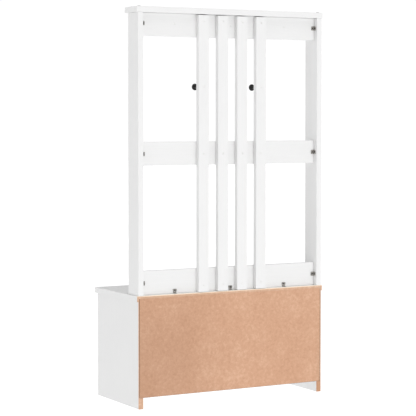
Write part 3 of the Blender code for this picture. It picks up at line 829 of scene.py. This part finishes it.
def leaf_plate(side):
    """A leaf in the YZ plane beside the pin, with round outer corners. Its holes are cut later."""
    start, end = KNUCKLE + GAP, KNUCKLE + GAP + LEAF_WIDTH
    outline = [(-HINGE_HALF, start), (HINGE_HALF, start), (HINGE_HALF, end), (-HINGE_HALF, end)]
    outline = rounded_corners(outline, [0, 0, LEAF_CORNER, LEAF_CORNER], 5, closed=True)
    plate = prism(outline, *leaf_faces(side))
    # (x, y, z) of the prism is (height, run back, thickness) of the hinge
    plate.transform(Matrix(((0, 0, 1, 0), (0, 1, 0, 0), (1, 0, 0, 0), (0, 0, 0, 1))))
    return plate


def tab(side, low, high):
    """The strap of a leaf that runs to its knuckle."""
    near, far = leaf_faces(side)
    end = KNUCKLE + TAB_LAP
    return prism([(near, TAB_ROOT), (far, TAB_ROOT), (far, end), (near, end)], low, high)


def leaf_screw_places(side, sunk):
    """Where a leaf's screws go. Their heads are on its bare side, away from the board."""
    return [
        facing((-side, 0, 0), (side * (GAP + sunk), KNUCKLE + GAP + back, height))
        for height, back in SCREW_ROWS
    ]


def leaf_screw_cuts(side):
    """Cutters for a leaf's countersunk holes."""
    cuts = []
    for place in leaf_screw_places(side, 0.0):
        cone = countersink(0.0006, 0.0030, 0.0, -0.0008)
        cone.transform(place)
        cuts.append(cone)
    return cuts


third = HINGE_HALF / 3
frame_solids = [leaf_plate(1)]
for low_end, high_end in ((-HINGE_HALF, -third - GAP), (third + GAP, HINGE_HALF)):
    frame_solids += [tab(1, low_end, high_end), rod(KNUCKLE, low_end, high_end)]
frame_solids.append(rod(PIN, -HINGE_HALF + PIN_INSET, HINGE_HALF - PIN_INSET))
frame_leaf = combined("frame_leaf", frame_solids, leaf_screw_cuts(1), 32)
door_solids = [leaf_plate(-1), tab(-1, -third + GAP, third - GAP)]
door_solids.append(rod(KNUCKLE, -third + GAP, third - GAP))
pin_bore = drill_bit(PIN_BORE, -0.012, 0.012)
door_leaf = combined("door_leaf", door_solids, [pin_bore, *leaf_screw_cuts(-1)], 32)
hinge_screw = countersunk_screw("hinge_screw", HINGE_SCREW_HEAD, HINGE_SCREW_LENGTH, HINGE_SCREW_SHANK)
joints = {joint["name"]: joint for joint in frame["record"]["behaviour"]["joints"]}

for side, turn in (("left", Matrix.Rotation(math.pi, 4, "Y")), ("right", Matrix.Identity(4))):
    x, y, _ = joints[f"door_{side}_hinge"]["pos_m"]
    frame_screws, door_screws = [], []
    for place in ("lower", "upper"):
        low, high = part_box(f"hinge_{side}_{place}_frame_leaf")
        placing = Matrix.Translation((x, y, (low[2] + high[2]) / 2)) @ turn
        for which, mesh, body in (("frame", frame_leaf, "carcass"), ("door", door_leaf, f"door_{side}")):
            name = f"hinge_{side}_{place}_{which}_leaf"
            made = copies(name + "_bent", mesh, [placing])
            add_piece(name + "_bent", made, hinge_finish, body, [name])
        frame_screws += [placing @ spot for spot in leaf_screw_places(1, HINGE_SCREW_SUNK)]
        door_screws += [placing @ spot for spot in leaf_screw_places(-1, HINGE_SCREW_SUNK)]
    rows = (("frame", frame_screws, "carcass"), ("door", door_screws, f"door_{side}"))
    for which, places, body in rows:
        name = f"hinge_{side}_{which}_screws"
        add_piece(name, copies(name, hinge_screw, places), screw_finish, body)

STRIKE_CORNER = 0.0015
STRIKE_SCREW_SUNK = 0.00006
for side in ("left", "right"):
    low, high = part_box(f"door_{side}_strike")
    middle = (low + high) / 2
    size = high - low
    name = f"door_{side}_strike"
    plate = prism(rectangle(size[0], size[2], STRIKE_CORNER, steps=4), 0.0, size[1])
    strike = combined(name + "_plate", [plate], [countersink(0.002, 0.0031, size[1], -0.0004)], 32)
    strike.transform(facing((0, 1, 0), (middle[0], low[1], middle[2])))
    add_piece(name + "_plate", strike, hinge_finish, f"door_{side}", [name])
    place = facing((0, 1, 0), (middle[0], high[1] - STRIKE_SCREW_SUNK, middle[2]))
    screw = copies(name + "_screw", hinge_screw, [place])
    add_piece(name + "_screw", screw, screw_finish, f"door_{side}")

CATCH_CORNER = 0.002
CATCH_EDGE = 0.0005
CATCH_PLATES_PROUD = 0.0008
# Screw slots and pole plates: two sides and a corner radius
CATCH_SLOT = (0.0045, 0.012, 0.0021)
POLE_PLATE = (0.0160, 0.0018, 0.0004)
POLE_X = 0.0125
POLE_RISE = 0.0035
POLE_SUNK = 0.0006
catch_low, catch_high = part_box("door_catch")
catch_middle = (catch_low + catch_high) / 2
catch_size = catch_high - catch_low
body_outline = rectangle(catch_size[0], catch_size[1] - CATCH_PLATES_PROUD, CATCH_CORNER, steps=4)
catch_body = prism(body_outline, catch_low[2], catch_high[2])
catch_slots = []
for x in (-POLE_X, POLE_X):
    outline = rectangle(*CATCH_SLOT, (x, 0.001))
    catch_slots.append(prism(outline, catch_low[2] - 0.001, catch_low[2] + 0.002))
catch_mesh = combined("door_catch_body", [catch_body], catch_slots, 35, CATCH_EDGE)
catch_mesh.transform(Matrix.Translation((catch_middle[0], catch_middle[1] + CATCH_PLATES_PROUD / 2, 0)))
add_piece("door_catch_body", catch_mesh, plastic_finish, "carcass", ["door_catch"])
pole_depth = CATCH_PLATES_PROUD + POLE_SUNK
pole = new_mesh("pole", prism(rectangle(*POLE_PLATE, steps=3), 0.0, pole_depth))
pole_face = facing((0, -1, 0), (0, catch_low[1] + pole_depth, catch_middle[2]))
pole_places = [(x, rise, 0) for x in (-POLE_X, POLE_X) for rise in (-POLE_RISE, POLE_RISE)]
poles = copies("door_catch_poles", pole, [pole_face @ Matrix.Translation(place) for place in pole_places])
add_piece("door_catch_poles", poles, screw_finish, "carcass")


# ---------------------------------------------------------------- floor, light and camera


def floor_material():
    """A pale matt floor that glows, so that it looks as white as the backdrop."""
    graph = Graph("pale_floor")
    tone = graph.noise(graph.position, 0.8, 2.0)
    colour = graph.mix(graph.spread(tone, 0.2, 0.8), FLOOR_DARK, FLOOR_LIGHT)
    return graph.surface(
        Base_Color=colour,
        Roughness=0.9,
        Emission_Color=(1, 1, 1, 1),
        Emission_Strength=FLOOR_GLOW,
    )


bm = bmesh.new()
bmesh.ops.create_grid(bm, x_segments=1, y_segments=1, size=FLOOR_SIZE / 2)
floor = bpy.data.objects.new("floor", new_mesh("floor", bm))
floor.data.materials.append(floor_material())
bpy.context.scene.collection.objects.link(floor)
# The floor hides none of the room's light, so some comes from below, as from a lit table
floor.visible_shadow = False


def add_sun(name, strength, direction, softness):
    """A soft sun that shines from the given direction."""
    light = bpy.data.lights.new(name, "SUN")
    light.energy = strength
    light.angle = math.radians(softness)
    lamp = bpy.data.objects.new(name, light)
    lamp.rotation_mode = "QUATERNION"
    lamp.rotation_quaternion = Vector(direction).to_track_quat("Z", "Y")
    bpy.context.scene.collection.objects.link(lamp)


for sun_name, (strength, direction, softness) in SOFTBOXES.items():
    add_sun(sun_name, strength, direction, softness)

# The room lights the object less than the white backdrop that is seen behind it
world = bpy.data.worlds.new("studio")
world.use_nodes = True
background = world.node_tree.nodes["Background"]
background.inputs["Color"].default_value = (1, 1, 1, 1)
seen = world.node_tree.nodes.new("ShaderNodeLightPath").outputs["Is Camera Ray"]
level = world.node_tree.nodes.new("ShaderNodeMapRange")
level.inputs["To Min"].default_value = ROOM_LIGHT
level.inputs["To Max"].default_value = BACKDROP_LIGHT
world.node_tree.links.new(seen, level.inputs["Value"])
world.node_tree.links.new(level.outputs["Result"], background.inputs["Strength"])
bpy.context.scene.world = world
bpy.context.scene.view_settings.view_transform = "Standard"
bpy.context.scene.view_settings.look = "None"

camera_data = bpy.data.cameras.new("camera")
camera_data.lens = CAMERA_LENS
camera_data.sensor_width = 36.0
camera_data.shift_y = CAMERA_SHIFT
camera_data.clip_end = 200.0
camera = bpy.data.objects.new("camera", camera_data)
camera.location = CAMERA_AT
camera.rotation_euler = (math.radians(90 - CAMERA_PITCH), 0, math.radians(CAMERA_YAW))
bpy.context.scene.collection.objects.link(camera)
bpy.context.scene.camera = camera

spares = [wood_screw, bolt, hook, rail_bracket, bench_bracket, bracket_screw]
spares += [frame_leaf, door_leaf, hinge_screw, pole]
for spare in spares:
    bpy.data.meshes.remove(spare)
